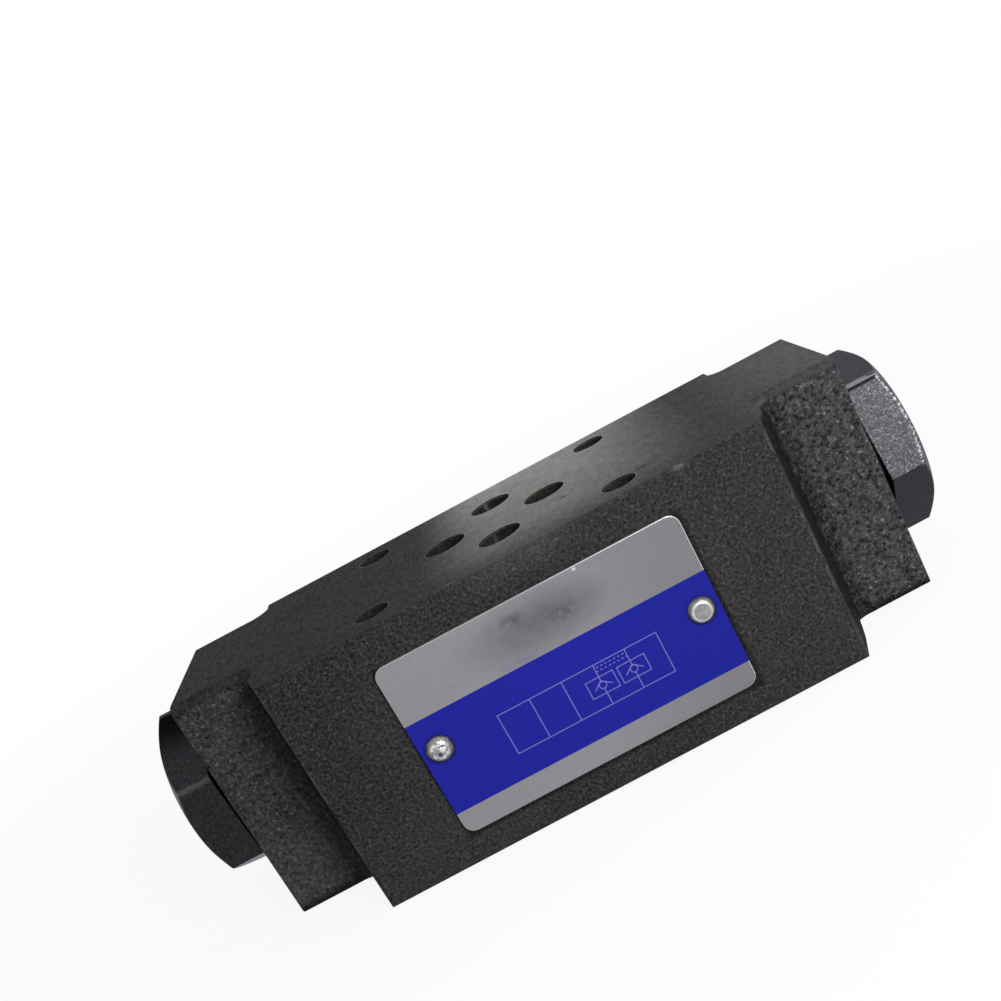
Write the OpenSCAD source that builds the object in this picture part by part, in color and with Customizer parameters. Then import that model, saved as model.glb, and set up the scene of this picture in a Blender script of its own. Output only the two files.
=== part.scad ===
// Hydraulic sandwich valve, size 02: a double pilot-operated check valve in a stepped iron body.
// Millimetres. Z = 0 is the underside with the seal rings, X = 0 is the line through ports P and T,
// Y = 0 is the middle of the port pattern, and the nameplate faces -Y.

/* [Body] */
// Height of the body, which is the thickness that it adds to a valve stack
body_h = 40; // [36:0.5:50]
// Width of the machined middle block, front to back
body_w = 46; // [45:0.5:54]
// Length of the middle block at the roots of its steps
root_len = 87; // [72:1:94]
// Angle at which the middle block's ends lean in from the roots to the front and the back
step_draft = 16; // [0:1:25]
// Length of the whole casting, end face to end face
body_len = 112; // [106:1:130]
// Distance from the pattern's middle to the front of the cast end blocks
end_front = 11; // [9:0.5:16]
// Distance from the pattern's middle to the back of the cast end blocks
end_back = 18.5; // [17:0.5:22]
// Radius of the cast fillet where an end block meets the middle block
step_fillet = 2.5; // [1:0.25:4]
// Radius of the casting's upright edges and of the end blocks' back edges
edge_round = 0.8; // [0.3:0.1:1.6]
// Radius of the end blocks' front edges, left as cast above and below
cast_round = 2.5; // [1:0.1:3]
// Chamfer along the long edges of the middle block
long_edge_chamfer = 0.6; // [0.2:0.1:1.2]

/* [Port face] */
// Diameter of the four bolt holes
bolt_hole_d = 5.5; // [5:0.1:6.4]
// Distance of the left bolt pair from the P-T line
bolt_left_x = 21.5; // [19:0.1:23]
// Spacing of the left bolt pair
bolt_left_pitch = 31; // [30:0.1:34]
// Distance of the right bolt pair from the P-T line
bolt_right_x = 19; // [17:0.1:23]
// Spacing of the right bolt pair
bolt_right_pitch = 32.5; // [31:0.1:35]
// Diameter of ports P, T, A and B
port_d = 7; // [5:0.1:7.5]
// Distance of ports P and T from the pattern's middle
port_pt_y = 10.4; // [10:0.1:11]
// Distance of port A from the P-T line
port_a_x = 8.8; // [8.6:0.1:9.5]
// Distance of port B from the P-T line
port_b_x = 8.7; // [8.6:0.1:9.5]
// Diameter of the seal recess round each port
seal_recess_d = 12.2; // [10.5:0.1:12.6]
// Depth of the seal recess
seal_recess_depth = 1.4; // [1:0.1:1.8]
// Width of a port seal ring's section
port_ring_w = 1.9; // [1.5:0.1:2.2]

/* [Cross bore] */
// Offset of the cross bore towards the back
bore_y = 4; // [3:0.25:5]
// Height of the cross bore's axis
bore_z = 21.25; // [19:0.25:22]
// Diameter of the bore that the pilot piston runs in
pilot_bore_d = 9; // [7:0.1:9.5]
// Length of the pilot piston's bore
pilot_bore_len = 10; // [8:0.25:10.25]
// Diameter of the chamber on each side of the pilot piston
chamber_d = 12; // [11:0.1:12.6]
// Length of that chamber
chamber_len = 8; // [7.5:0.25:9]
// Diameter of the bore for the seat sleeve and the plug's spigot
main_bore_d = 14; // [13.4:0.1:15]
// Diameter of the plug's thread
thread_d = 20; // [18:0.5:22]
// Length of the plug's thread in the body
thread_len = 10; // [8:0.5:12]
// Diameter of the seal pocket under the plug's head
head_pocket_d = 24.4; // [23.4:0.1:25.4]
// Depth of the seal pocket under the plug's head
head_pocket_depth = 2; // [1.8:0.1:2.6]
// Diameter of the slanted drillings and of the passage that bows round the bore
passage_d = 5; // [4:0.1:5.5]
// Wall left between the bowed passage and the pilot piston's bore
bow_wall = 3; // [2:0.25:4]
// Diameter of the round pocket where the two halves of the bowed passage meet
bow_pocket_d = 6; // [5.6:0.1:6.4]
// Depth of the straight part of each port
port_mouth = 6; // [5:0.25:7]

/* [Seats and poppets] */
// Length of a seat sleeve
sleeve_len = 7; // [6:0.25:9]
// Diameter of the seat's orifice
orifice_d = 6; // [5:0.1:7]
// Chamfer at the inlet of the orifice
orifice_lead = 0.8; // [0.4:0.1:1.2]
// Width of the seal groove round a seat sleeve
groove_w = 2; // [1.6:0.1:2.4]
// Depth of that groove
groove_depth = 1.4; // [1.1:0.1:1.7]
// Diameter of a poppet's guided skirt
poppet_d = 10.9; // [10:0.1:11.2]
// Length of a poppet, nose to rear
poppet_len = 15; // [13:0.5:18]
// Diameter of the flat on a poppet's nose
nose_d = 4; // [3:0.1:4.6]
// Wall of a poppet's hollow skirt
skirt_wall = 1.4; // [1:0.1:1.8]
// Thickness of a poppet's solid nose, tip to spring pocket
nose_len = 6.5; // [6:0.25:8]
// Diameter of the cross hole that feeds the space behind a poppet
vent_d = 1.6; // [1:0.1:2]
// Lift of a poppet off its seat
lift = 3.5; // [2:0.25:4.5]
// Free space between a seat sleeve and the plug's spigot
gallery_len = 7.5; // [6.5:0.25:9]
// Diameter of the pins on the pilot piston
pilot_pin_d = 4.6; // [3:0.1:4.8]
// Free travel of the pilot piston before a pin reaches a poppet
pilot_travel = 1.5; // [1:0.1:2.5]

/* [Springs] */
// Wire diameter of a poppet's spring
wire_d = 1; // [0.7:0.05:1.2]
// Outer diameter of the spring
spring_d = 7.4; // [6:0.1:7.8]
// Turns of the spring, closed ends included
spring_turns = 7; // [5:1:8]
// Pitch of the closed end turns, in wire diameters
closed_pitch = 1.05; // [1.02:0.01:1.2]

/* [Plugs] */
// Width across flats of a plug's hexagon
hex_af = 27; // [26:0.5:30]
// Height of the hexagon
hex_h = 7.5; // [4:0.5:10]
// Angle of the chamfer turned on the hexagon
hex_chamfer_angle = 30; // [15:1:45]
// Angle of a corner of the left hexagon above the horizontal
hex_turn_left = 36; // [0:0.5:60]
// Angle of a corner of the right hexagon above the horizontal
hex_turn_right = 9; // [0:0.5:60]
// How much smaller than the width across flats the turned faces of the head are
face_step = 0.7; // [0.4:0.1:2]
// Thickness of the round washer face under the hexagon
washer_face_h = 0.6; // [0.3:0.1:1]
// Diameter of the plug's neck inside its seal ring
neck_d = 18; // [16:0.5:18.4]
// Diameter of the plug seal ring's section
plug_ring_d = 1.9; // [1.6:0.1:2]

/* [Nameplate] */
// Length of the nameplate
plate_w = 48.5; // [40:0.5:60]
// Height of the nameplate
plate_h = 29.2; // [24:0.2:33]
// Thickness of the nameplate
plate_t = 0.5; // [0.3:0.1:1]
// Corner radius of the nameplate
plate_corner = 1.8; // [1:0.1:5]
// Height of the nameplate's middle above the underside
plate_z = 19.8; // [18:0.2:21]
// Offset of the nameplate's middle from the P-T line
plate_x = -0.4; // [-2:0.1:2]
// Distance of a rivet from the end of the nameplate
rivet_inset = 2.9; // [2.6:0.1:5]
// How far the rivets sit below the nameplate's middle
rivet_drop = 0.4; // [0:0.1:2]
// Diameter of a rivet's head
rivet_head_d = 4.2; // [3.6:0.1:5]
// Height of a rivet's head
rivet_head_h = 1.1; // [0.7:0.1:1.6]
// Diameter of a rivet's shank
rivet_shank_d = 2.4; // [1.8:0.1:2.8]
// Length of a rivet's shank in the body
rivet_depth = 3; // [2:0.25:4]
// Least wall between a rivet's hole and a bolt hole
rivet_wall = 0.8; // [0.5:0.1:1.5]

/* [Clearances] */
// Radial clearance of the pilot piston in its bore
pilot_clear = 0.03; // [0.01:0.01:0.1]
// Radial clearance of a poppet in its guide
guide_clear = 0.05; // [0.02:0.01:0.1]
// Radial clearance of fixed pieces in the body
fixed_clear = 0.05; // [0.02:0.01:0.1]
// Room that a seal ring has in its groove
ring_clear = 0.04; // [0.02:0.01:0.1]
// Gap at a closed seat and at the end stops
stop_gap = 0.1; // [0.05:0.05:0.2]

/* [Hidden] */

$fn = 64;
// A cutter reaches this far past the face that it opens
over = 1;
// A cast fillet reaches this far into the blocks that it joins, and its arc dips this far into their faces
fillet_lap = 2;
fillet_dip = 0.03;

// Stations along the cross bore, from the middle outwards
chamber_x = pilot_bore_len / 2;
seat_in_x = chamber_x + chamber_len;
seat_out_x = seat_in_x + sleeve_len;
spigot_x = seat_out_x + gallery_len;
end_x = body_len / 2;
pocket_x = end_x - head_pocket_depth;
thread_x = pocket_x - thread_len;
head_x = end_x + washer_face_h;
plug_end_x = end_x + hex_h;

// A poppet's nose is a 45 degree cone, so its length follows from its radii
nose_x = seat_out_x - (orifice_d - nose_d) / 2 + stop_gap;
skirt_x = nose_x + (poppet_d - nose_d) / 2;
rear_x = nose_x + poppet_len;
spring_pocket_x = nose_x + nose_len;
guide_floor_x = rear_x + lift + stop_gap;
pilot_pin_x = nose_x - pilot_travel - stop_gap;

// Middle block in plan: half lengths at the roots, the front and the back
root_x = root_len / 2;
front_x = root_x - (body_w / 2 - end_front) * tan(step_draft);
back_x = root_x - (body_w / 2 - end_back) * tan(step_draft);
lean = [sin(step_draft), cos(step_draft)];
// The back steps are shallow, so their fillets end before the rounded edge
back_fillet = min(step_fillet, body_w / 2 - end_back - edge_round);

spring_len = guide_floor_x - spring_pocket_x - 2 * ring_clear;
plate_bottom = plate_z - plate_h / 2;
rivet_places = [for (side = [-1, 1]) plate_x + side * (plate_w / 2 - rivet_inset)];
rivet_z = plate_z - rivet_drop;
rivet_hole_d = rivet_shank_d + 2 * fixed_clear;
bolt_wall = (body_w - max(bolt_left_pitch, bolt_right_pitch) - bolt_hole_d) / 2;
rivet_len = min(rivet_depth, bolt_wall - rivet_wall);
bow_y = bore_y + pilot_bore_d / 2 + bow_wall + bow_pocket_d / 2;
// The slanted drillings of A and B end this far below the cross bore's axis
gallery_drop = main_bore_d / 4;

// Ports: place on the face, by name
port_p = [0, port_pt_y];
port_t = [0, -port_pt_y];
port_a = [-port_a_x, 0];
port_b = [port_b_x, 0];

// Rectangle with true round corners, from its lowest to its highest corner
module round_rect(low, high, r) {
  size = high - low;
  translate(low + [r, 0]) square([size.x - 2 * r, size.y]);
  translate(low + [0, r]) square([size.x, size.y - 2 * r]);
  for (x = [low.x + r, high.x - r], y = [low.y + r, high.y - r])
    translate([x, y]) circle(r);
}

// Turns a shape drawn for the right back into the quadrant given by the signs
module in_quadrant(sign_x, sign_y) {
  mirror([sign_x < 0 ? 1 : 0, 0, 0]) mirror([0, sign_y < 0 ? 1 : 0, 0]) children();
}

// Round bar or cutter along the cross bore
module rod(x0, x1, d) {
  translate([x0, bore_y, bore_z]) rotate([0, 90, 0]) cylinder(h = x1 - x0, d = d);
}

// Turned piece on the cross bore, from points of radius and station
module turned(points) {
  translate([0, bore_y, bore_z]) rotate([0, 90, 0]) rotate_extrude() polygon(points);
}

// Round drilling between two points
module drilling(from, to, d) {
  way = to - from;
  turn_z = atan2(way.y, way.x);
  turn_y = acos(way.z / norm(way));
  translate(from) rotate([0, turn_y, turn_z]) cylinder(h = norm(way), d = d);
}

// Draws a right-hand piece on the side given by its sign
module on_side(side) {
  mirror([side < 0 ? 1 : 0, 0, 0]) children();
}

// Length of the tangents from a corner between a leaning end and a straight face to an arc in it
function tangent(r) = r * tan((90 - step_draft) / 2);

// Middle block in plan, with its ends leaning in from the roots and its corners rounded
module middle_outline() {
  cut = tangent(edge_round);
  right = [
    [front_x - cut, -body_w / 2],
    [front_x + cut * lean.x, -body_w / 2 + cut * lean.y],
    [root_x, -end_front],
    [root_x, end_back],
    [back_x + cut * lean.x, body_w / 2 - cut * lean.y],
    [back_x - cut, body_w / 2]
  ];
  left = [for (i = [len(right) - 1:-1:0]) [-right[i].x, right[i].y]];
  polygon(concat(right, left));
  for (side = [-1, 1]) {
    translate([side * (front_x - cut), edge_round - body_w / 2]) circle(edge_round);
    translate([side * (back_x - cut), body_w / 2 - edge_round]) circle(edge_round);
  }
}

// End blocks seen from the end, with wide rounds at the front and small ones at the back
module end_profile() {
  round_rect([-end_front, 0], [0, body_h], cast_round);
  round_rect([-end_front + 2 * cast_round, 0], [end_back, body_h], edge_round);
}

module end_blocks() {
  intersection() {
    linear_extrude(body_h) round_rect([-end_x, -end_front], [end_x, end_back], edge_round);
    translate([-end_x, 0, 0]) rotate([90, 0, 90]) linear_extrude(body_len) end_profile();
  }
}

// Cast fillet in the root of a step, drawn for the right back with the root at the origin
module step_corner(r, edge_r) {
  middle = [tangent(r), r];
  touch = tangent(r) * [-lean.x, lean.y];
  behind = -edge_r - fillet_lap;
  difference() {
    linear_extrude(body_h)
      polygon([middle, touch, touch - [fillet_lap, 0], [-fillet_lap, behind], [middle.x, behind]]);
    translate([middle.x, middle.y, -over]) cylinder(h = body_h + 2 * over, r = r + fillet_dip);
  }
}

// Ring that rounds the top and bottom edges along a fillet, and runs out on the leaning end beside it
module step_edge_cut(r, edge_r) {
  inner = r + fillet_dip;
  translate([tangent(r), r, 0]) rotate_extrude() difference() {
    translate([inner - over, -over]) square([over + edge_r, body_h + 2 * over]);
    translate([inner, edge_r]) square([over + edge_r, body_h - 2 * edge_r]);
    for (z = [edge_r, body_h - edge_r])
      translate([inner + edge_r, z]) circle(edge_r);
  }
}

// Places a shape drawn for the right back, with the root at the origin, in the two front steps
module in_front_steps() {
  for (side = [-1, 1])
    translate([side * root_x, -end_front, 0]) in_quadrant(side, -1) children();
}

module in_back_steps() {
  for (side = [-1, 1])
    translate([side * root_x, end_back, 0]) in_quadrant(side, 1) children();
}

module long_edge_cuts() {
  side = long_edge_chamfer * sqrt(2);
  reach = root_x + over;
  for (y = [-body_w / 2, body_w / 2], z = [0, body_h])
    translate([-reach, y, z]) rotate([45, 0, 0])
      translate([0, -side / 2, -side / 2]) cube([2 * reach, side, side]);
}

module bolt_holes() {
  pairs = [[-bolt_left_x, bolt_left_pitch], [bolt_right_x, bolt_right_pitch]];
  for (pair = pairs, side = [-1, 1])
    translate([pair[0], side * pair[1] / 2, -over]) cylinder(h = body_h + 2 * over, d = bolt_hole_d);
}

// Straight part of a port from one face, as deep as given
module port_from_top(at, depth) {
  translate([at.x, at.y, body_h - depth]) cylinder(h = depth + over, d = port_d);
}

module port_from_below(at, depth) {
  translate([at.x, at.y, -over]) cylinder(h = depth + over, d = port_d);
}

module seal_recess(at) {
  translate([at.x, at.y, -over]) cylinder(h = seal_recess_depth + over, d = seal_recess_d);
}

// T runs straight through. P bows round the cross bore. The top mouths of A and B open into the
// chambers beside the pilot piston, and their lower mouths reach the galleries behind the seats.
module ports() {
  for (port = [port_p, port_t, port_a, port_b]) seal_recess(port);
  port_from_top(port_t, body_h + over);
  port_from_top(port_p, port_mouth);
  port_from_below(port_p, port_mouth);
  bend = [0, bow_y, bore_z];
  for (z = [port_mouth - passage_d / 2, body_h - port_mouth + passage_d / 2])
    drilling([port_p.x, port_p.y, z], bend, passage_d);
  translate(bend) sphere(d = bow_pocket_d);
  for (port = [port_a, port_b]) {
    port_from_top(port, body_h - bore_z);
    port_from_below(port, port_mouth);
    gallery = [sign(port.x) * spigot_x, bore_y, bore_z - gallery_drop];
    drilling([port.x, port.y, port_mouth - passage_d / 2], gallery, passage_d);
  }
}

module cross_bore() {
  rod(-chamber_x - over, chamber_x + over, pilot_bore_d);
  for (side = [-1, 1]) on_side(side) {
    rod(chamber_x, seat_in_x + over, chamber_d);
    rod(seat_in_x, end_x + over, main_bore_d);
    rod(thread_x, end_x + over, thread_d);
    rod(pocket_x, end_x + over, head_pocket_d);
  }
}

module rivet_holes() {
  for (x = rivet_places)
    translate([x, -body_w / 2 - over, rivet_z]) rotate([-90, 0, 0])
      cylinder(h = rivet_len + over + stop_gap, d = rivet_hole_d);
}

module valve_body() {
  color([0.16, 0.16, 0.16]) difference() {
    union() {
      linear_extrude(body_h) middle_outline();
      end_blocks();
      in_front_steps() step_corner(step_fillet, cast_round);
      in_back_steps() step_corner(back_fillet, edge_round);
    }
    in_front_steps() step_edge_cut(step_fillet, cast_round);
    in_back_steps() step_edge_cut(back_fillet, edge_round);
    long_edge_cuts();
    bolt_holes();
    ports();
    cross_bore();
    rivet_holes();
  }
}

// Land in the middle, with a pin on each end that pushes the far poppet open
module pilot_piston() {
  land_d = pilot_bore_d - 2 * pilot_clear;
  color([0.62, 0.63, 0.65]) {
    rod(-chamber_x, chamber_x, land_d);
    rod(-pilot_pin_x, pilot_pin_x, pilot_pin_d);
  }
}

module seat_sleeve(side) {
  sleeve_r = main_bore_d / 2 - fixed_clear;
  orifice_r = orifice_d / 2;
  groove_x = (seat_in_x + seat_out_x - groove_w) / 2;
  groove_r = main_bore_d / 2 - groove_depth;
  groove_end_x = groove_x + groove_w;
  color([0.7, 0.68, 0.62]) on_side(side) turned([
    [orifice_r + orifice_lead, seat_in_x], [sleeve_r, seat_in_x], [sleeve_r, groove_x],
    [groove_r, groove_x], [groove_r, groove_end_x], [sleeve_r, groove_end_x],
    [sleeve_r, seat_out_x], [orifice_r, seat_out_x], [orifice_r, seat_in_x + orifice_lead]
  ]);
}

// Ring with a round section, on the cross bore
module cross_ring(x, middle_r, section_d) {
  translate([x, bore_y, bore_z]) rotate([0, 90, 0])
    rotate_extrude() translate([middle_r, 0]) circle(d = section_d);
}

module seat_o_ring(side) {
  color([0.05, 0.05, 0.05]) on_side(side)
    cross_ring((seat_in_x + seat_out_x) / 2, (main_bore_d - groove_depth) / 2, groove_depth - 2 * ring_clear);
}

// Hollow poppet with a conical nose and a cross hole behind it
module check_poppet(side) {
  poppet_r = poppet_d / 2;
  pocket_r = poppet_r - skirt_wall;
  color([0.66, 0.67, 0.7]) on_side(side) difference() {
    turned([
      [0, nose_x], [nose_d / 2, nose_x], [poppet_r, skirt_x], [poppet_r, rear_x],
      [pocket_r, rear_x], [pocket_r, spring_pocket_x], [0, spring_pocket_x]
    ]);
    translate([spring_pocket_x + vent_d / 2 + ring_clear, bore_y, bore_z - poppet_d])
      cylinder(h = 2 * poppet_d, d = vent_d);
  }
}

// Station of the wire's middle after so many turns, with a closed turn at each end
function coil_x(turn, run) =
  let (closed = wire_d * closed_pitch, open = (run - 2 * closed) / (spring_turns - 2))
  turn < 1 ? turn * closed
  : turn > spring_turns - 1 ? run - (spring_turns - turn) * closed
  : closed + (turn - 1) * open;

module poppet_spring(side) {
  steps = 16;
  sides = 8;
  count = spring_turns * steps;
  run = spring_len - wire_d;
  coil_r = (spring_d - wire_d) / 2;
  start_x = spring_pocket_x + ring_clear + wire_d / 2;
  points = [for (i = [0 : count], k = [0 : sides - 1])
    let (a = 360 * i / steps, b = 360 * k / sides, r = coil_r + wire_d / 2 * cos(b))
    [start_x + coil_x(i / steps, run) + wire_d / 2 * sin(b), bore_y + r * cos(a), bore_z + r * sin(a)]];
  walls = [for (i = [0 : count - 1], k = [0 : sides - 1])
    let (n = (k + 1) % sides)
    [i * sides + k, (i + 1) * sides + k, (i + 1) * sides + n, i * sides + n]];
  ends = [[for (k = [0 : sides - 1]) k], [for (k = [sides - 1 : -1 : 0]) count * sides + k]];
  color([0.45, 0.46, 0.48]) on_side(side) polyhedron(points, concat(walls, ends));
}

// Hexagon with a chamfer turned on its outer end, on the cross bore
module hex_head(turn) {
  corner_r = hex_af / 2 / cos(30);
  face_r = (hex_af - face_step) / 2;
  drop = (corner_r + over - face_r) * tan(hex_chamfer_angle);
  intersection() {
    translate([head_x, bore_y, bore_z]) rotate([0, 90, 0]) rotate([0, 0, turn + 90])
      cylinder(h = plug_end_x - head_x, r = corner_r, $fn = 6);
    turned([
      [0, end_x], [corner_r + over, end_x], [corner_r + over, plug_end_x - drop],
      [face_r, plug_end_x], [0, plug_end_x]
    ]);
  }
}

// Screw plug: hexagon, washer face, neck, thread and a hollow spigot that guides the poppet
module end_plug(side, turn) {
  thread_r = thread_d / 2 - fixed_clear;
  spigot_r = main_bore_d / 2 - fixed_clear;
  guide_r = poppet_d / 2 + guide_clear;
  washer_r = (hex_af - face_step) / 2;
  shoulder_x = thread_x + stop_gap;
  color([0.13, 0.14, 0.16]) on_side(side) {
    hex_head(turn);
    turned([
      [guide_r, spigot_x], [spigot_r, spigot_x], [spigot_r, shoulder_x], [thread_r, shoulder_x],
      [thread_r, pocket_x], [neck_d / 2, pocket_x], [neck_d / 2, end_x], [washer_r, end_x],
      [washer_r, head_x], [0, head_x], [0, guide_floor_x], [guide_r, guide_floor_x]
    ]);
  }
}

module plug_o_ring(side) {
  middle_r = neck_d / 2 + ring_clear + plug_ring_d / 2;
  color([0.05, 0.05, 0.05]) on_side(side) cross_ring((pocket_x + end_x) / 2, middle_r, plug_ring_d);
}

// Seal ring squeezed level with the underside
module port_o_ring(at) {
  ring_h = seal_recess_depth - 2 * ring_clear;
  outer_r = seal_recess_d / 2 - ring_clear;
  flat_w = port_ring_w - ring_h;
  color([0.05, 0.05, 0.05]) translate([at.x, at.y, seal_recess_depth / 2]) rotate_extrude() {
    translate([outer_r - port_ring_w + ring_h / 2, -ring_h / 2]) square([flat_w, ring_h]);
    for (r = [outer_r - ring_h / 2, outer_r - port_ring_w + ring_h / 2]) translate([r, 0]) circle(d = ring_h);
  }
}

module nameplate() {
  color([0.15, 0.17, 0.6]) translate([0, -body_w / 2, 0]) rotate([90, 0, 0]) linear_extrude(plate_t)
    difference() {
      translate([plate_x, plate_bottom]) round_rect([-plate_w / 2, 0], [plate_w / 2, plate_h], plate_corner);
      for (x = rivet_places) translate([x, rivet_z]) circle(d = rivet_hole_d);
    }
}

// Domed drive rivets, head down on the nameplate
module drive_rivets() {
  head_r = rivet_head_d / 2;
  dome_r = (head_r * head_r + rivet_head_h * rivet_head_h) / (2 * rivet_head_h);
  color([0.78, 0.78, 0.8]) for (x = rivet_places)
    translate([x, -body_w / 2 - plate_t, rivet_z]) rotate([90, 0, 0]) {
      intersection() {
        translate([0, 0, rivet_head_h - dome_r]) sphere(r = dome_r);
        cylinder(h = rivet_head_h + over, d = rivet_head_d + over);
      }
      shank = plate_t + rivet_len;
      translate([0, 0, -shank]) cylinder(h = shank + rivet_head_h / 2, d = rivet_shank_d);
    }
}

valve_body();
pilot_piston();
seat_sleeve(-1);  // seat_sleeve_left
seat_sleeve(1);  // seat_sleeve_right
seat_o_ring(-1);  // seat_o_ring_left
seat_o_ring(1);  // seat_o_ring_right
check_poppet(-1);  // check_poppet_left
check_poppet(1);  // check_poppet_right
poppet_spring(-1);  // poppet_spring_left
poppet_spring(1);  // poppet_spring_right
end_plug(-1, hex_turn_left);  // end_plug_left
end_plug(1, hex_turn_right);  // end_plug_right
plug_o_ring(-1);  // plug_o_ring_left
plug_o_ring(1);  // plug_o_ring_right
port_o_ring(port_p);  // port_o_ring_p
port_o_ring(port_t);  // port_o_ring_t
port_o_ring(port_a);  // port_o_ring_a
port_o_ring(port_b);  // port_o_ring_b
nameplate();
drive_rivets();
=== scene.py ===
import math

import bmesh
import bpy
from mathutils import Matrix, Vector


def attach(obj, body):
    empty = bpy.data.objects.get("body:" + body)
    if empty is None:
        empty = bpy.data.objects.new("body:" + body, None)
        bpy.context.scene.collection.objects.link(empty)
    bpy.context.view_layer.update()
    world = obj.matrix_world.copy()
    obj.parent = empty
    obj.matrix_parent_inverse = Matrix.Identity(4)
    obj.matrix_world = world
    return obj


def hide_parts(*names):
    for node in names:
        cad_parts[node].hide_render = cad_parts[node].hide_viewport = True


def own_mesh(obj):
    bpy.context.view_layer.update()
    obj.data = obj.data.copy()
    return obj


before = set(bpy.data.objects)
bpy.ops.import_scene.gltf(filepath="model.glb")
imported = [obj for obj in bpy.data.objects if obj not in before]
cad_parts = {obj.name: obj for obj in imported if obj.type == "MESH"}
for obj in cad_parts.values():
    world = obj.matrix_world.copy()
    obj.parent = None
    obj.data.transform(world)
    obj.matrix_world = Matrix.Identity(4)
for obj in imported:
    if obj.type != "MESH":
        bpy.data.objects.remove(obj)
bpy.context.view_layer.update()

# Valve body: an iron casting with a ground middle block and narrower end blocks left as cast.
# It is phosphated black all over, and its holes are drilled after the faces are ground.
# A copy of the CAD node gets its sharp edges broken. Sizes are in millimetres, meshes in metres.

MM = 1000.0  # in a metre
WELD = 0.002
TOUCH = 0.01
FLAT_ANGLE = math.radians(0.5)
SHARP_ANGLE = math.radians(20)
SMOOTH_ANGLE = math.radians(38)

BODY_TOP = 40.0
BODY_FRONT = -23.0
END_EDGE_X = 55.9
EDGE_BREAK = 0.3
CORNER_X = 39.95
ROOT_X = 43.5
ROOT_Y = 11.0
PLATE_X = -0.15
PLATE_Z = 19.4
PLATE_HALF = (24.25, 14.6)
PORT_REACH = 10.4
PORTS = ((0.0, PORT_REACH), (0.0, -PORT_REACH), (-8.8, 0.0), (8.7, 0.0))
PORT_RADIUS = 3.5
BOLTS = ((-21.5, -15.5), (-21.5, 15.5), (19.0, -16.25), (19.0, 16.25))
BOLT_RADIUS = 2.75


def copy_node(node, name):
    """Copies a CAD node into a new object, with its triangles joined into whole flat faces."""
    bpy.ops.object.select_all(action="DESELECT")
    piece = bpy.data.objects.new(name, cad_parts[node].data.copy())
    bpy.context.scene.collection.objects.link(piece)
    piece.data.materials.clear()
    piece.select_set(True)
    bpy.context.view_layer.objects.active = piece
    bpy.ops.object.mode_set(mode="EDIT")
    bpy.ops.mesh.select_all(action="SELECT")
    bpy.ops.mesh.remove_doubles(threshold=WELD / MM)
    bpy.ops.mesh.dissolve_limited(angle_limit=FLAT_ANGLE)
    bpy.ops.object.mode_set(mode="OBJECT")
    return piece


def round_edges(piece, width, segments, takes):
    """Rounds the sharp edges whose two ends satisfy takes, and shades the piece smooth."""
    shape = bmesh.new()
    shape.from_mesh(piece.data)
    weight = shape.edges.layers.float.new("bevel_weight_edge")
    for edge in shape.edges:
        sharp = len(edge.link_faces) == 2 and edge.calc_face_angle() > SHARP_ANGLE
        if sharp and all(takes(corner.co) for corner in edge.verts):
            edge[weight] = 1.0
    shape.to_mesh(piece.data)
    shape.free()
    bevel = piece.modifiers.new("round", "BEVEL")
    bevel.limit_method = "WEIGHT"
    bevel.width = width / MM
    bevel.segments = segments
    flatten = piece.modifiers.new("flatten", "WEIGHTED_NORMAL")
    flatten.keep_sharp = True
    bpy.ops.object.select_all(action="DESELECT")
    piece.select_set(True)
    bpy.context.view_layer.objects.active = piece
    bpy.ops.object.modifier_apply(modifier=bevel.name)
    bpy.ops.object.shade_smooth_by_angle(angle=SMOOTH_ANGLE)
    bpy.ops.object.modifier_apply(modifier=flatten.name)


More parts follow.
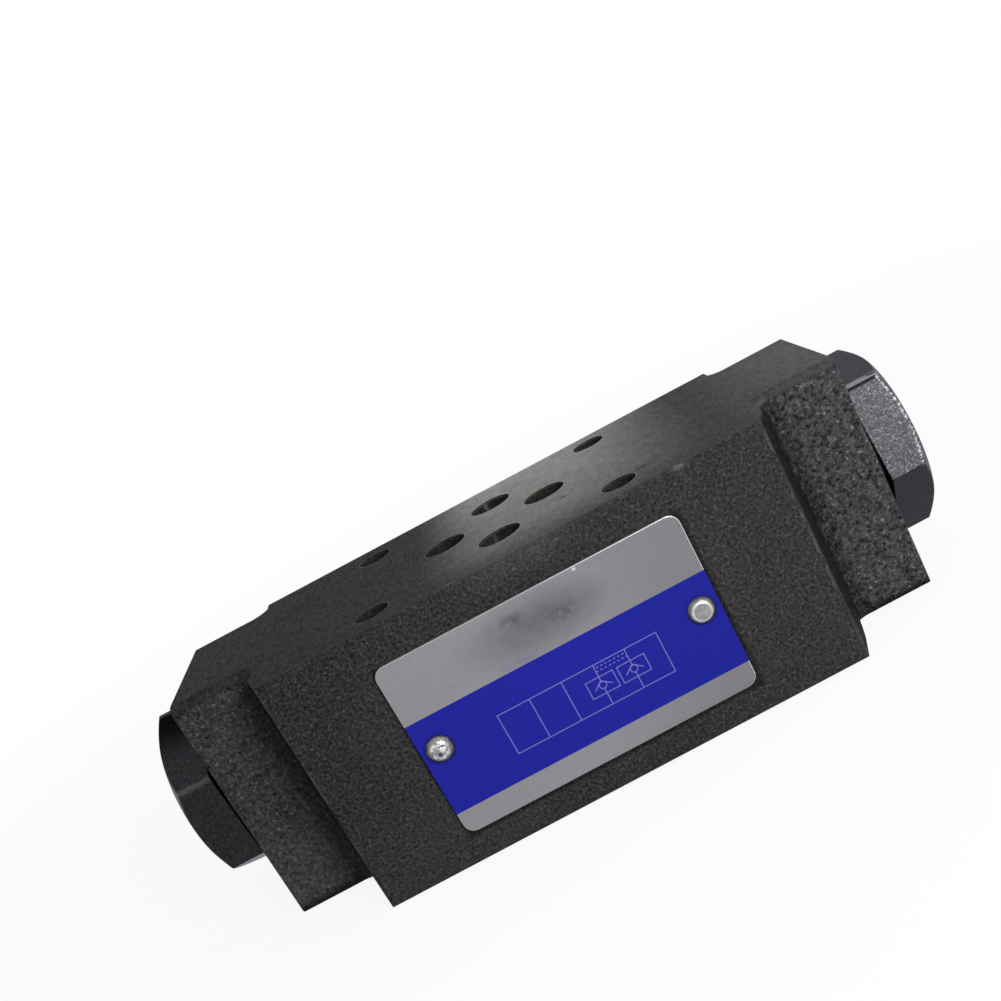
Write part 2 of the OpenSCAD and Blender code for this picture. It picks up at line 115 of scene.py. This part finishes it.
class Signal:
    """An output socket of a material's nodes. Arithmetic on it adds Math nodes."""

    def __init__(self, tree, socket):
        self.tree = tree
        self.socket = socket

    def node(self, kind, settings=None, inputs=None, out=0):
        """Adds a node: its settings first, then the values or links of its sockets."""
        made = self.tree.nodes.new("ShaderNode" + kind)
        for name, value in (settings or {}).items():
            setattr(made, name, value)
        for name, value in (inputs or {}).items():
            if isinstance(value, Signal):
                self.tree.links.new(value.socket, made.inputs[name])
            else:
                made.inputs[name].default_value = value
        return Signal(self.tree, made.outputs[out])

    def math(self, operation, *others):
        return self.node("Math", {"operation": operation}, dict(enumerate((self,) + others)))

    def __add__(self, other):
        return self.math("ADD", other)

    def __sub__(self, other):
        return self.math("SUBTRACT", other)

    def __mul__(self, other):
        return self.math("MULTIPLY", other)

    __radd__ = __add__
    __rmul__ = __mul__

    def __rsub__(self, other):
        return (self * -1.0) + other

    def __abs__(self):
        return self.math("ABSOLUTE")

    def rise(self, low, high):
        """Goes smoothly from 0 at low to 1 at high, or falls where low is the greater."""
        if low > high:
            return 1.0 - self.rise(high, low)
        return self.node(
            "MapRange", {"interpolation_type": "SMOOTHSTEP"},
            {"Value": self, "From Min": low, "From Max": high},
        )

    def least(self, other):
        return self.math("MINIMUM", other)

    def most(self, other):
        return self.math("MAXIMUM", other)

    def span(self, other):
        """Distance of the point with these two coordinates from the origin."""
        return (self * self + other * other).math("SQRT")

    def apart(self):
        """The three parts of a vector."""
        split = self.node("SeparateXYZ", None, {0: self}).socket.node
        return [Signal(self.tree, socket) for socket in split.outputs]

    def noise(
        self, scale, detail, rough,
        grain=(1.0, 1.0, 1.0), turn=(0.0, 0.0, 0.0), at=(0.0, 0.0, 0.0),
    ):
        """Noise from 0 to 1 on this place, with its grain drawn out along turned axes."""
        placed = self.node(
            "Mapping", {"vector_type": "TEXTURE"},
            {"Vector": self, "Location": at, "Rotation": turn, "Scale": grain},
        )
        return self.node(
            "TexNoise", None,
            {"Vector": placed, "Scale": scale, "Detail": detail, "Roughness": rough},
        )

    def mix(self, plain, full):
        """A colour from plain to full as this value goes from 0 to 1."""
        return self.node("Mix", {"data_type": "RGBA"}, {0: self, 6: plain, 7: full}, 2)


def new_finish(name, **constants):
    """A material with constants set on its shader, and the place on the piece in millimetres."""
    material = bpy.data.materials.new(name)
    material.use_nodes = True
    tree = material.node_tree
    shader = tree.nodes["Principled BSDF"]
    for socket, value in constants.items():
        shader.inputs[socket.replace("_", " ")].default_value = value
    metres = Signal(tree, tree.nodes.new("ShaderNodeTexCoord").outputs["Object"])
    return material, metres.node("VectorMath", {"operation": "SCALE"}, {0: metres, "Scale": MM})


def wire(material, **links):
    """Links signals to the shader's sockets."""
    shader = material.node_tree.nodes["Principled BSDF"]
    for socket, signal in links.items():
        material.node_tree.links.new(signal.socket, shader.inputs[socket.replace("_", " ")])


def bump(height, depth):
    """A Bump node over a height from 0 to 1, as deep as this many millimetres."""
    return height.node("Bump", None, {"Strength": 1.0, "Distance": depth / MM, "Height": height})


def spot(across, along, squeeze, edge, core):
    """A soft spot where both squeezed offsets are near 0. It fades from core to edge."""
    return (across * squeeze[0]).span(along * squeeze[1]).rise(edge, core)


def on_body_skin(at):
    """Whether a corner lies on the casting's top, underside, front, back or end faces."""
    level = min(at.z, BODY_TOP / MM - at.z) < TOUCH / MM
    front_or_back = abs(abs(at.y) + BODY_FRONT / MM) < TOUCH / MM
    return level or front_or_back or abs(at.x) > END_EDGE_X / MM


body = copy_node("valve_body", "body_casting")
round_edges(body, EDGE_BREAK, 2, on_body_skin)

iron, place = new_finish(
    "phosphated_iron", Specular_IOR_Level=0.02, Coat_Roughness=0.42, Coat_IOR=1.5,
)
x, y, z = place.apart()
out_x = abs(x)
past_corner = out_x - CORNER_X
below_top = BODY_TOP - z
from_front = y - BODY_FRONT
from_sides = -BODY_FRONT - abs(y)
upper = z.rise(19.0, 21.0)
ground_face = (below_top - 0.65 * past_corner.rise(0.55, 2.55)).rise(0.57, 0.23)
ground_face = ground_face.most(z.rise(0.30, 0.12))
lip = ground_face * past_corner.rise(1.05, 3.05) * below_top.rise(0.02, 0.4) * upper
as_cast = past_corner.rise(0.15, 0.75) * from_sides.rise(0.3, 0.8) * (1.0 - ground_face)
side_face = (1.0 - as_cast) * (1.0 - ground_face)

# Grains of the phosphate, lumps of the sand mould, painted glints on the lumps, and slow clouds
# over both
fine = place.noise(2.0, 3.0, 0.7)
flecks = place.noise(2.2, 2.0, 0.6, at=(9.0, 2.0, 4.0)).rise(0.54, 0.72)
film_grain = place.noise(0.8, 4.0, 0.7, grain=(1.0, 2.4, 1.0))
drawn_grain = place.noise(2.2, 3.0, 0.7, grain=(1.0, 3.2, 1.0))
lumps = place.noise(1.25, 3.0, 0.66)
cloud = place.noise(0.07, 3.0, 0.55)
glints = place.noise(2.0, 2.0, 0.5, at=(3.0, 5.0, 1.0)).rise(0.60, 0.72)

# Short handling scratches on the sides, in two directions, and grinding lines along the top
rising = place.noise(1.0, 2.0, 0.5, grain=(2.6, 9.0, 0.34), turn=(0.0, 0.9, 0.0))
rising = rising.rise(0.60, 0.72)
falling = place.noise(
    1.0, 2.0, 0.5, grain=(2.2, 9.0, 0.36), turn=(0.0, -1.1, 0.0), at=(7.0, 0.0, 3.0),
)
falling = falling.rise(0.60, 0.72)
grind = place.noise(1.0, 3.0, 0.6, grain=(14.0, 0.25, 1.0))

# Bare iron where the front edges were knocked
edge_top = abs(below_top - 0.4).rise(0.8, 0.2) * abs(from_front - 0.4).rise(0.8, 0.2)
edge_side = abs(past_corner).rise(0.30, 0.05) * abs(from_front - 0.15).rise(0.35, 0.1)
knocks = place.noise(0.55, 4.0, 0.65, grain=(2.8, 1.0, 2.0))
nicks = (edge_top * knocks.rise(0.62, 0.74)).most(edge_side * knocks.rise(0.40, 0.66) * 0.6)

# Painted shade on the leaning ends of the middle block, in the roots and along the lower cast edges
lean = (y + ROOT_Y).rise(0.2, -1.2) * past_corner.rise(0.25, 0.65)
root = (out_x - ROOT_X).span(abs(y) - ROOT_Y)
painted_shade = as_cast * lean.most(0.65 * root.rise(3.4, 0.6)).most(z.rise(3.0, 0.6))

# Painted shadow on the body against the nameplate's edge
past_plate = (abs(x - PLATE_X) - PLATE_HALF[0]).most(abs(z - PLATE_Z) - PLATE_HALF[1])
plate_shadow = past_plate.rise(0.75, 0.05) * from_front.rise(0.5, 0.1)

# Drilled walls of the ports and bolt holes, darkened as painted shade, burrs round their mouths,
# and a painted glint in P and T
drilled = z * 0.0
burr = z * 0.0
holes = [(port, PORT_RADIUS) for port in PORTS] + [(bolt, BOLT_RADIUS) for bolt in BOLTS]
for (hole_x, hole_y), radius in holes:
    gap = (x - hole_x).span(y - hole_y) - radius
    drilled = drilled.most(gap.rise(0.08, 0.04))
    burr = burr.most(abs(gap - 0.14).rise(0.16, 0.04))
drilled = drilled * side_face
glint = drilled * abs(x + 0.9).rise(0.55, 0.05) * abs(abs(y) - PORT_REACH).rise(4.0, 3.6)
glint = glint * (0.4 + 0.6 * y.rise(-5.0, 5.0)) * film_grain.rise(0.30, 0.62)

# Marks on the top: a pit, a smudge beside a bolt hole, a scuff at the front edge,
# and thin brown oil in front of T, which ran over the edge
pit = spot(x - 11.0, y + 8.1, (1.0, 1.0), 0.6, 0.25) * upper
smudge = spot(x - 23.4, y + 14.5, (0.42, 1.0), 1.1, 0.2) * film_grain.rise(0.36, 0.56) * upper
scuff = spot(x + 9.1, y + 21.8, (0.75, 1.0), 1.0, 0.3) * fine.rise(0.42, 0.58)
scuff = scuff * ground_face * upper
brown = spot(x - 3.7, y + 15.5, (0.30, 0.55), 1.2, 0.1)
run_down = x.rise(-13.0, 1.0) * x.rise(13.0, 5.0)
run_down = run_down * below_top.rise(5.0, 0.4) * from_front.rise(3.0, 0.4)

# Tone of the phosphate, of the sand-cast skin on it, and of the ground faces
tone = 0.0235 + 0.115 * (fine - 0.5) + 0.042 * flecks + 0.014 * (cloud - 0.5)
# The phosphate is lighter towards the right as painted light, and lighter low on the left
tone = tone + 0.005 * x.rise(-40.0, 40.0) + 0.007 * z.rise(22.0, 4.0) * x.rise(5.0, -25.0)
tone = tone + 0.019 * run_down + side_face * (0.012 * rising + 0.010 * falling)
# The sand-cast grain carries the painted glints, both stronger towards the right
sand_and_glints = 0.15 * (lumps - 0.47) + 0.16 * glints * lumps.rise(0.40, 0.58)
sand_and_glints = sand_and_glints * (0.72 + 0.55 * x.rise(-20.0, 20.0))
tone = tone + as_cast * (0.011 + 0.005 * z.rise(22.0, 6.0) * x.rise(30.0, -30.0) + sand_and_glints)
# The ground faces are lighter from the left end towards the middle, as painted light
ground_tone = 0.0205 + 0.0095 * x.rise(-31.0, 0.0) + 0.060 * (film_grain - 0.5)
ground_tone = ground_tone + 0.085 * (drawn_grain - 0.5) + 0.016 * (grind - 0.5)
ground_tone = ground_tone + 0.010 * (cloud - 0.5) + 0.045 * burr + 0.10 * scuff
# A painted highlight lightens the rounded lip of the end blocks, more towards the right
ground_tone = ground_tone + lip * (0.006 + 0.005 * x.rise(20.0, 50.0))
ground_tone = ground_tone * (1.0 - 0.6 * smudge.most(pit))
ground_share = ground_face * (1.0 - 0.75 * from_front.rise(2.5, 0.1))
tone = tone * (1.0 - ground_share) + ground_tone * ground_share
# Painted shade darkens the roots, leaning ends, lower cast edges and drilled walls, and a painted
# shadow the body round the nameplate
tone = tone * (1.0 - 0.8 * painted_shade) * (1.0 - 0.55 * plate_shadow) * (1.0 - 0.45 * drilled)
tone = (tone + 0.07 * nicks + 0.09 * glint).most(0.005)

# A film of oil is left on the ground faces round the ports and at the right end
film = 0.16 + 0.61 * y.rise(-25.0, -9.0) + 0.46 * y.rise(-10.0, 24.0)
film = film * x.rise(-14.5, 1.0) * x.rise(38.0, 13.0) + 0.28 * x.rise(31.0, 53.0)
film = film * (1.0 + 0.5 * (cloud - 0.5) + 0.5 * (grind - 0.5) + 0.8 * (film_grain - 0.5))
film = film * (1.0 - 0.7 * smudge.most(pit)) * (1.0 - 0.15 * brown)
coat = (ground_face * film).most(0.25 * drilled)
yellowed = tone * (0.995 - 0.2 * coat.least(1.0))
height = as_cast * (lumps + 0.25 * fine) + side_face * 0.2 * fine
height = height + ground_face * (0.05 * film_grain + 0.05 * grind)
parts = {"Red": tone * 1.02, "Green": tone, "Blue": yellowed}
wire(
    iron,
    Base_Color=tone.node("CombineColor", None, parts),
    Roughness=0.72 + 0.3 * (fine - 0.5) - 0.10 * ground_face,
    Coat_Weight=coat,
    Normal=bump(height, 0.35),
)
body.data.materials.append(iron)
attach(body, "valve")
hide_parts("valve_body")

# Mechanism: ground steel seats, hollow poppets and the pilot piston, all turned and lapped.
# The seats are pressed in, the poppets slide in the plugs, and the piston floats between them.


def dress(nodes, material):
    """Gives CAD nodes that stay visible their material."""
    for node in nodes:
        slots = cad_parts[node].data.materials
        slots.clear()
        slots.append(material)


ground, place = new_finish("ground_steel", Metallic=1.0)
ring_marks = place.noise(1.0, 3.0, 0.6, grain=(0.17, 5.0, 5.0))
stain = place.noise(0.3, 3.0, 0.5)
wire(
    ground,
    Base_Color=stain.mix((0.46, 0.47, 0.49, 1.0), (0.60, 0.61, 0.63, 1.0)),
    Roughness=0.22 + 0.2 * ring_marks,
    Normal=bump(ring_marks, 0.03),
)
dress(("pilot_piston", "seat_sleeve_left", "seat_sleeve_right"), ground)
dress(("check_poppet_left", "check_poppet_right"), ground)

# Springs: drawn steel wire, one behind each poppet in its hollow, closed at both ends.

BORE_Y = 4.0
BORE_Z = 21.25
WIRE_ANGLE = math.radians(60)

drawn, place = new_finish("drawn_wire", Metallic=1.0)
streak = place.noise(1.5, 3.0, 0.6)
wire(
    drawn,
    Base_Color=streak.mix((0.17, 0.17, 0.18, 1.0), (0.33, 0.33, 0.34, 1.0)),
    Roughness=0.3 + 0.2 * streak,
    Normal=bump(streak, 0.02),
)
for side, sign in (("left", -1.0), ("right", 1.0)):
    spring = copy_node("poppet_spring_" + side, "wire_spring_" + side)
    bpy.ops.object.shade_smooth_by_angle(angle=WIRE_ANGLE)
    spring.data.materials.append(drawn)
    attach(spring, "valve")
    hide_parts("poppet_spring_" + side)
    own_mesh(spring)

# Seal rings: moulded black rubber, oiled when fitted.
# One lies round each port in the underside, one in each seat and one under each plug's head.

rubber, place = new_finish("oiled_rubber", Specular_IOR_Level=0.5)
bloom = place.noise(0.9, 4.0, 0.6)
wire(
    rubber,
    Base_Color=bloom.mix((0.010, 0.010, 0.010, 1.0), (0.024, 0.024, 0.025, 1.0)),
    Roughness=0.16 + 0.22 * bloom,
    Normal=bump(bloom, 0.04),
)
dress(("seat_o_ring_left", "seat_o_ring_right", "plug_o_ring_left", "plug_o_ring_right"), rubber)
dress(("port_o_ring_p", "port_o_ring_t", "port_o_ring_a", "port_o_ring_b"), rubber)

# End plugs: turned hexagon screws of steel, blackened in hot oxide.
# They are screwed tight against the end faces, and the spanner has worn their corners bright.

HEAD_X = 56.6
HEAD_ROUND = 0.25
FACE_X = 63.5
FACE_RADIUS = 13.15
FLAT_RADIUS = 13.5
FLAT_AIM = (-0.934, 0.358)

oxide, place = new_finish(
    "black_oxide", Metallic=0.85, Specular_IOR_Level=0.2, Specular_Tint=(0.70, 0.72, 0.79, 1.0),
)
x, y, z = place.apart()
haze = place.noise(0.35, 4.0, 0.6)
speck = place.noise(2.1, 4.0, 0.65)
rubbed = place.noise(0.9, 3.0, 0.6, grain=(3.0, 1.0, 1.0))
chipped = place.noise(2.4, 3.0, 0.6)
frosted = place.noise(2.6, 3.0, 0.7)
right = x.rise(-10.0, 10.0)
right_head = x.rise(50.0, 55.0)
left_head = x.rise(-50.0, -55.0)
from_axis = (y - BORE_Y).span(z - BORE_Z)

# The right plug's front flat is lightened as a painted highlight, with painted shade along its
# upper corner, and the spanner chipped its rim
past_flat = (y - BORE_Y) * FLAT_AIM[0] + (z - BORE_Z) * FLAT_AIM[1] - FLAT_RADIUS
flat = past_flat.rise(-0.12, -0.05) * right_head
corner_shade = from_axis.rise(15.30, 15.42) * flat * z.rise(24.0, 30.0)
rim = abs(from_axis - FACE_RADIUS - (FACE_X - x) * math.sqrt(3.0)).rise(1.1, 0.4)
rim = rim * past_flat.rise(-0.45, -0.25) * right_head * chipped.rise(0.44, 0.62)

# Upper front corners are worn, less so on the left, where the top flat is dull and darkened as a
# painted shadow
worn = (from_axis - 0.5 * (1.0 - right)).rise(14.65, 15.05) * rubbed.rise(0.30, 0.50)
worn = worn * z.rise(24.0, 33.0) * y.rise(6.5, 3.0) * (1.0 - flat) * (0.5 + 0.5 * right)
worn = worn.most(rim * 0.8)
dull_shaded_top = z.rise(30.5, 35.5) * left_head
black = haze * 0.3 + speck.rise(0.28, 0.72) * 0.7
black = black.mix((0.006, 0.007, 0.009, 1.0), (0.038, 0.037, 0.041, 1.0))
# Painted highlight on the right plug's front flat, painted shade along its upper corner and a
# painted shadow on the left plug's top flat
black = (flat * frosted.rise(0.45, 0.75)).mix(black, (0.073, 0.068, 0.074, 1.0))
black = corner_shade.mix(black, (0.003, 0.003, 0.004, 1.0))
black = dull_shaded_top.mix(black, (0.004, 0.004, 0.005, 1.0))
wire(
    oxide,
    Base_Color=worn.mix(black, (0.26, 0.255, 0.26, 1.0)),
    Roughness=0.34 + 0.5 * (speck - 0.5) + 0.12 * worn + 0.5 * dull_shaded_top,
    Normal=bump(speck + 0.3 * haze, 0.07),
)
for side in ("left", "right"):
    plug = copy_node("end_plug_" + side, "hex_plug_" + side)
    round_edges(plug, HEAD_ROUND, 2, lambda at: abs(at.x) > HEAD_X / MM)
    plug.data.materials.append(oxide)
    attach(plug, "valve")
    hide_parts("end_plug_" + side)

# Nameplate: thin aluminium sheet, brushed and printed with a blue band, with its corners cut round.
# It lies flat on the front of the body under two rivets.

PLATE_EDGE_Y = -23.4
PLATE_ROUND = 0.4
RIVET_X = (-21.75, 20.95)
BLUE_TOP = 24.75
BLUE_BOTTOM = 9.0
LINE = 0.075
LINE_BLUR = 0.03
PLAN_X = (-12.2, 13.6)
PLAN_Z = (13.0, 19.75)
WALLS_X = (-7.0, -1.8)
CHECKS_X = (3.35, 8.45)
CHECK_HALF = 2.2
CHECK_Z = (15.0, 17.75)
BALL_Z = 16.35
BALL_RADIUS = 0.55
SEAT_RISE = 0.75
SEAT_SLOPE = 0.8
DASHES_Z = (18.6, 19.2)
DASHES_HALF = 2.5

plate = copy_node("nameplate", "printed_plate")
round_edges(plate, PLATE_ROUND, 3, lambda at: at.y < PLATE_EDGE_Y / MM)
sheet, place = new_finish("printed_sheet", Specular_IOR_Level=0.06)
x, y, z = place.apart()


def stroke(gap, width=LINE):
    """A thin printed line where a distance is 0."""
    return abs(gap).rise(width + LINE_BLUR, width - LINE_BLUR)


def frame_line(left, right, low, high):
    """A thin printed outline of a box."""
    across = abs(x - (left + right) / 2) - (right - left) / 2
    along = abs(z - (low + high) / 2) - (high - low) / 2
    return stroke(across.most(along))


def upright(at, low, high):
    """A thin printed line from low to high."""
    half = (high - low) / 2
    return stroke(x - at) * abs(z - (low + high) / 2).rise(half + 0.02, half - 0.02)


def check_sign(at):
    """A ball in its seat, as drawn on a circuit plan."""
    ball = stroke((x - at).span(z - BALL_Z) - BALL_RADIUS)
    seat = stroke(z - BALL_Z - SEAT_RISE + abs(x - at) * SEAT_SLOPE, 1.3 * LINE)
    seat = seat * abs(x - at).rise(1.45, 1.38) * z.rise(BALL_Z - 0.55, BALL_Z - 0.45)
    return ball.most(seat)


plan = frame_line(*PLAN_X, *PLAN_Z)
for at in WALLS_X:
    plan = plan.most(upright(at, *PLAN_Z))
for at in CHECKS_X:
    plan = plan.most(frame_line(at - CHECK_HALF, at + CHECK_HALF, *CHECK_Z)).most(check_sign(at))
    plan = plan.most(upright(at, PLAN_Z[0], BALL_Z - BALL_RADIUS))
    plan = plan.most(upright(at, BALL_Z + BALL_RADIUS, PLAN_Z[1]))
for level in DASHES_Z:
    dashes = (x * 1.45 + level).math("FRACT").rise(0.45, 0.5)
    dashes = dashes * abs(x - sum(CHECKS_X) / 2).rise(DASHES_HALF, DASHES_HALF - 0.05)
    plan = plan.most(stroke(z - level) * dashes)

face = y.rise(-23.485, -23.497)
blue = z.rise(BLUE_TOP + 0.05, BLUE_TOP - 0.05) * z.rise(BLUE_BOTTOM - 0.05, BLUE_BOTTOM + 0.05)
brush = place.noise(1.0, 3.0, 0.6, grain=(20.0, 1.0, 0.2))
grit = place.noise(5.0, 2.0, 0.5)

# Thumbed grease on the upper field, a rub of ink over the band, a nick at the top,
# and painted shadow round the rivets
patchy = place.noise(0.35, 4.0, 0.6)
mottle = place.noise(1.0, 4.0, 0.65)
blot = spot(x + 3.8, z - 31.6, (0.42, 0.8), 1.25, 0.1)
blot = blot.most(spot(x - 3.9, z - 29.1, (0.40, 0.75), 1.25, 0.1))
stain = spot(x - 0.5, z - 29.5, (0.075, 0.20), 1.3, 0.1) * (0.34 + 0.4 * patchy + 0.44 * mottle)
stain = (stain + blot * mottle.rise(0.34, 0.60) * 0.42).least(1.0)
inked = spot(x + 5.5, z - 25.2, (0.28, 0.9), 1.2, 0.2) * patchy.rise(0.30, 0.62)
nick = spot(x - 7.5, z - 33.9, (2.2, 2.6), 1.0, 0.3) * grit.rise(0.30, 0.60)
rivet_shadow = z * 0.0
for at in RIVET_X:
    rivet_shadow = rivet_shadow.most((x - at).span(z - PLATE_Z).rise(2.65, 2.05))
silver = (brush * 0.4 + grit * 0.6).mix((0.200, 0.198, 0.213, 1.0), (0.330, 0.328, 0.345, 1.0))
# Painted shade darkens the silver towards the right
silver = stain.most(0.42 * x.rise(-4.0, 24.0)).mix(silver, (0.115, 0.113, 0.128, 1.0))
silver = (inked * 0.45).mix(silver, (0.150, 0.140, 0.300, 1.0))
silver = nick.mix(silver, (0.60, 0.60, 0.60, 1.0))
printed = grit.mix((0.0098, 0.0128, 0.235, 1.0), (0.0138, 0.0178, 0.300, 1.0))
printed = (plan * 0.66).mix(printed, (0.24, 0.22, 0.48, 1.0))
# Painted shadow round the rivets and painted shade towards the right darken the blue
printed = (rivet_shadow * 0.6).most(0.09 * x.rise(0.0, 24.0)).mix(printed, (0.006, 0.007, 0.05, 1.0))
# The bare cut rim is bright only along the right and top edges, as a painted highlight
bare_rim_highlight = x.rise(22.5, 24.0).most(z.rise(33.2, 33.8) * (0.25 + 0.5 * x.rise(-5.0, 20.0)))
bare_rim_highlight = bare_rim_highlight * (1.0 - face) * (1.0 - blue)
wire(
    sheet,
    Base_Color=bare_rim_highlight.mix(blue.mix(silver, printed), (0.88, 0.88, 0.89, 1.0)),
    Metallic=0.85 * (1.0 - blue),
    Roughness=0.42 + 0.18 * brush + 0.08 * stain - 0.25 * bare_rim_highlight,
    Normal=bump(brush * 0.6 + grit * 0.4, 0.02),
)
plate.data.materials.append(sheet)
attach(plate, "valve")
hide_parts("nameplate")

# Drive rivets: soft aluminium pins with button heads, hammered into the body through the plate.
# The hammer flattened the right one's crown, where the copy is cut and rounded again.
# It only scarred the left one's, which is left to the material, with painted highlights on its
# ridges and centre.

CROWN_Y = -24.22
CROWN_ROUND = 0.22
CUT_TOUCH = 0.001
RING_RADIUS = 1.42
RIDGE_RADIUS = 1.15

rivets = copy_node("drive_rivets", "hammered_rivets")
heads = rivets.data
for corner in heads.vertices:
    corner.select = corner.co.x > 0.0
for edge in heads.edges:
    edge.select = all(heads.vertices[i].select for i in edge.vertices)
for facet in heads.polygons:
    facet.select = all(heads.vertices[i].select for i in facet.vertices)
bpy.ops.object.mode_set(mode="EDIT")
bpy.ops.mesh.bisect(
    plane_co=(0.0, CROWN_Y / MM, 0.0), plane_no=(0.0, -1.0, 0.0), use_fill=True, clear_outer=True,
)
bpy.ops.object.mode_set(mode="OBJECT")
round_edges(rivets, CROWN_ROUND, 3, lambda at: abs(at.y - CROWN_Y / MM) < CUT_TOUCH / MM)

bright, place = new_finish("hammered_aluminium", Metallic=1.0)
x, _, z = place.apart()
right = x.rise(-1.0, 1.0)
left = 1.0 - right
along = x - RIVET_X[0] - (RIVET_X[1] - RIVET_X[0]) * right
up = z - PLATE_Z
out = along.span(up)
scars = place.noise(1.4, 3.0, 0.6, at=(2.0, 1.0, 4.0))
ring = abs(out - RING_RADIUS).rise(0.24, 0.06)
ridge_highlight = abs(out - RIDGE_RADIUS).rise(0.34, 0.12) * scars.rise(0.40, 0.52)
heart_highlight = spot(along - 0.5, up - 0.1, (1.0, 1.0), 0.6, 0.2)
notch = spot(along + 0.15, up + 0.55, (1.0, 0.75), 0.42, 0.18)
notch = notch.most(spot(along - 0.75, up - 0.62, (1.0, 1.6), 0.5, 0.2))
# Painted shade darkens both heads' flanks, and a painted highlight rings the right one's crown
tone = 0.30 + 0.40 * (scars - 0.5) - 0.10 * out.rise(1.50, 1.75) - 0.14 * out.rise(1.80, 2.08)
tone = tone + 0.30 * right * ring + left * (0.42 * ridge_highlight.most(heart_highlight) - 0.22 * notch)
tone = tone.most(0.06)
wire(
    bright,
    Base_Color=tone.node("CombineColor", None, {"Red": tone, "Green": tone, "Blue": tone * 1.01}),
    Roughness=0.40 + 0.2 * (scars - 0.5),
    Normal=bump(scars * (1.0 + 2.0 * left), 0.06),
)
rivets.data.materials.append(bright)
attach(rivets, "valve")
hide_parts("drive_rivets")

# Stage: a white floor that keeps a soft shadow and fades to the white world further out.
# It glows for the rays that show it, and lights the valve as plain paper does.
# From here on, lengths are in metres.

FLOOR_SIZE = 8.0
FLOOR_Z = -0.0002
SHADOW_DEPTH = 0.10
SHADOW_REACH = (0.10, 0.32)


def shown(tree):
    """1 for camera, mirror and see-through rays, which show a surface, and 0 for the others."""
    path = tree.nodes.new("ShaderNodeLightPath")
    straight = Signal(tree, path.outputs["Is Camera Ray"])
    mirrored = Signal(tree, path.outputs["Is Glossy Ray"])
    through = Signal(tree, path.outputs["Is Transmission Ray"])
    return straight.most(mirrored).most(through)


bpy.ops.object.select_all(action="DESELECT")
bpy.ops.mesh.primitive_plane_add(size=FLOOR_SIZE, location=(0.0, 0.0, FLOOR_Z))
floor = bpy.context.object
floor.name = "floor"
paper = bpy.data.materials.new("white_paper")
paper.use_nodes = True
tree = paper.node_tree
paint = tree.nodes["Principled BSDF"]
paint.inputs["Base Color"].default_value = (0.86, 0.86, 0.86, 1.0)
paint.inputs["Roughness"].default_value = 0.9
paint.inputs["Specular IOR Level"].default_value = 0.0
place = Signal(tree, tree.nodes.new("ShaderNodeTexCoord").outputs["Object"])
reach = place.node("VectorMath", {"operation": "LENGTH"}, {0: place}, "Value")
glow = tree.nodes.new("ShaderNodeEmission")
blend = tree.nodes.new("ShaderNodeMixShader")
share = shown(tree) * (1.0 - SHADOW_DEPTH + SHADOW_DEPTH * reach.rise(*SHADOW_REACH))
tree.links.new(share.socket, blend.inputs[0])
tree.links.new(paint.outputs[0], blend.inputs[1])
tree.links.new(glow.outputs[0], blend.inputs[2])
tree.links.new(blend.outputs[0], tree.nodes["Material Output"].inputs["Surface"])
floor.data.materials.append(paper)

# Light: an even white room, with one soft lamp at the front right and one high on the right.
# The room looks pure white and lights the valve at less than half of that.

ROOM_LIGHT = 0.4
AIM = (0.0, 0.0, 0.02)

world = bpy.data.worlds.new("white_room")
bpy.context.scene.world = world
world.use_nodes = True
tree = world.node_tree
backing = tree.nodes["Background"]
backing.inputs["Color"].default_value = (1.0, 1.0, 1.0, 1.0)
strength = ROOM_LIGHT + (1.0 - ROOM_LIGHT) * shown(tree)
tree.links.new(strength.socket, backing.inputs["Strength"])


def add_lamp(name, at, size, power):
    """A square soft lamp at a place, turned to face the valve."""
    lamp = bpy.data.lights.new(name, "AREA")
    lamp.size = size
    lamp.energy = power
    holder = bpy.data.objects.new(name, lamp)
    bpy.context.scene.collection.objects.link(holder)
    holder.location = at
    holder.rotation_euler = (Vector(AIM) - Vector(at)).to_track_quat("-Z", "Y").to_euler()


add_lamp("front_lamp", at=(0.16, -0.30, 0.19), size=0.12, power=1.0)
add_lamp("side_lamp", at=(0.42, 0.06, 0.30), size=0.25, power=0.7)

# Camera: where the photograph was taken from, turned as it was held.
# Its place, axes and focal length come from a fit to the photograph, in its pixels.

PHOTO_SIDE = 1001.0
FOCAL_PIXELS = 1317.6
SHIFT_PIXELS = (-79.5, 89.5)
EYE_AT = (0.009692, -0.200605, 0.087986)
RIGHT = Vector((0.88332, -0.13158, -0.44993))
DOWN = Vector((-0.46854, -0.27836, -0.83845))
FORWARD = Vector((-0.01492, 0.95142, -0.30753))

eye = bpy.data.cameras.new("eye")
eye.sensor_width = 36.0
eye.lens = FOCAL_PIXELS / PHOTO_SIDE * eye.sensor_width
eye.shift_x = SHIFT_PIXELS[0] / PHOTO_SIDE
eye.shift_y = SHIFT_PIXELS[1] / PHOTO_SIDE
eye.clip_start = 0.01
camera = bpy.data.objects.new("eye", eye)
bpy.context.scene.collection.objects.link(camera)
turn = Matrix((RIGHT, -DOWN, -FORWARD)).transposed().to_4x4()
camera.matrix_world = Matrix.Translation(EYE_AT) @ turn
bpy.context.scene.camera = camera
bpy.context.scene.view_settings.view_transform = "Standard"
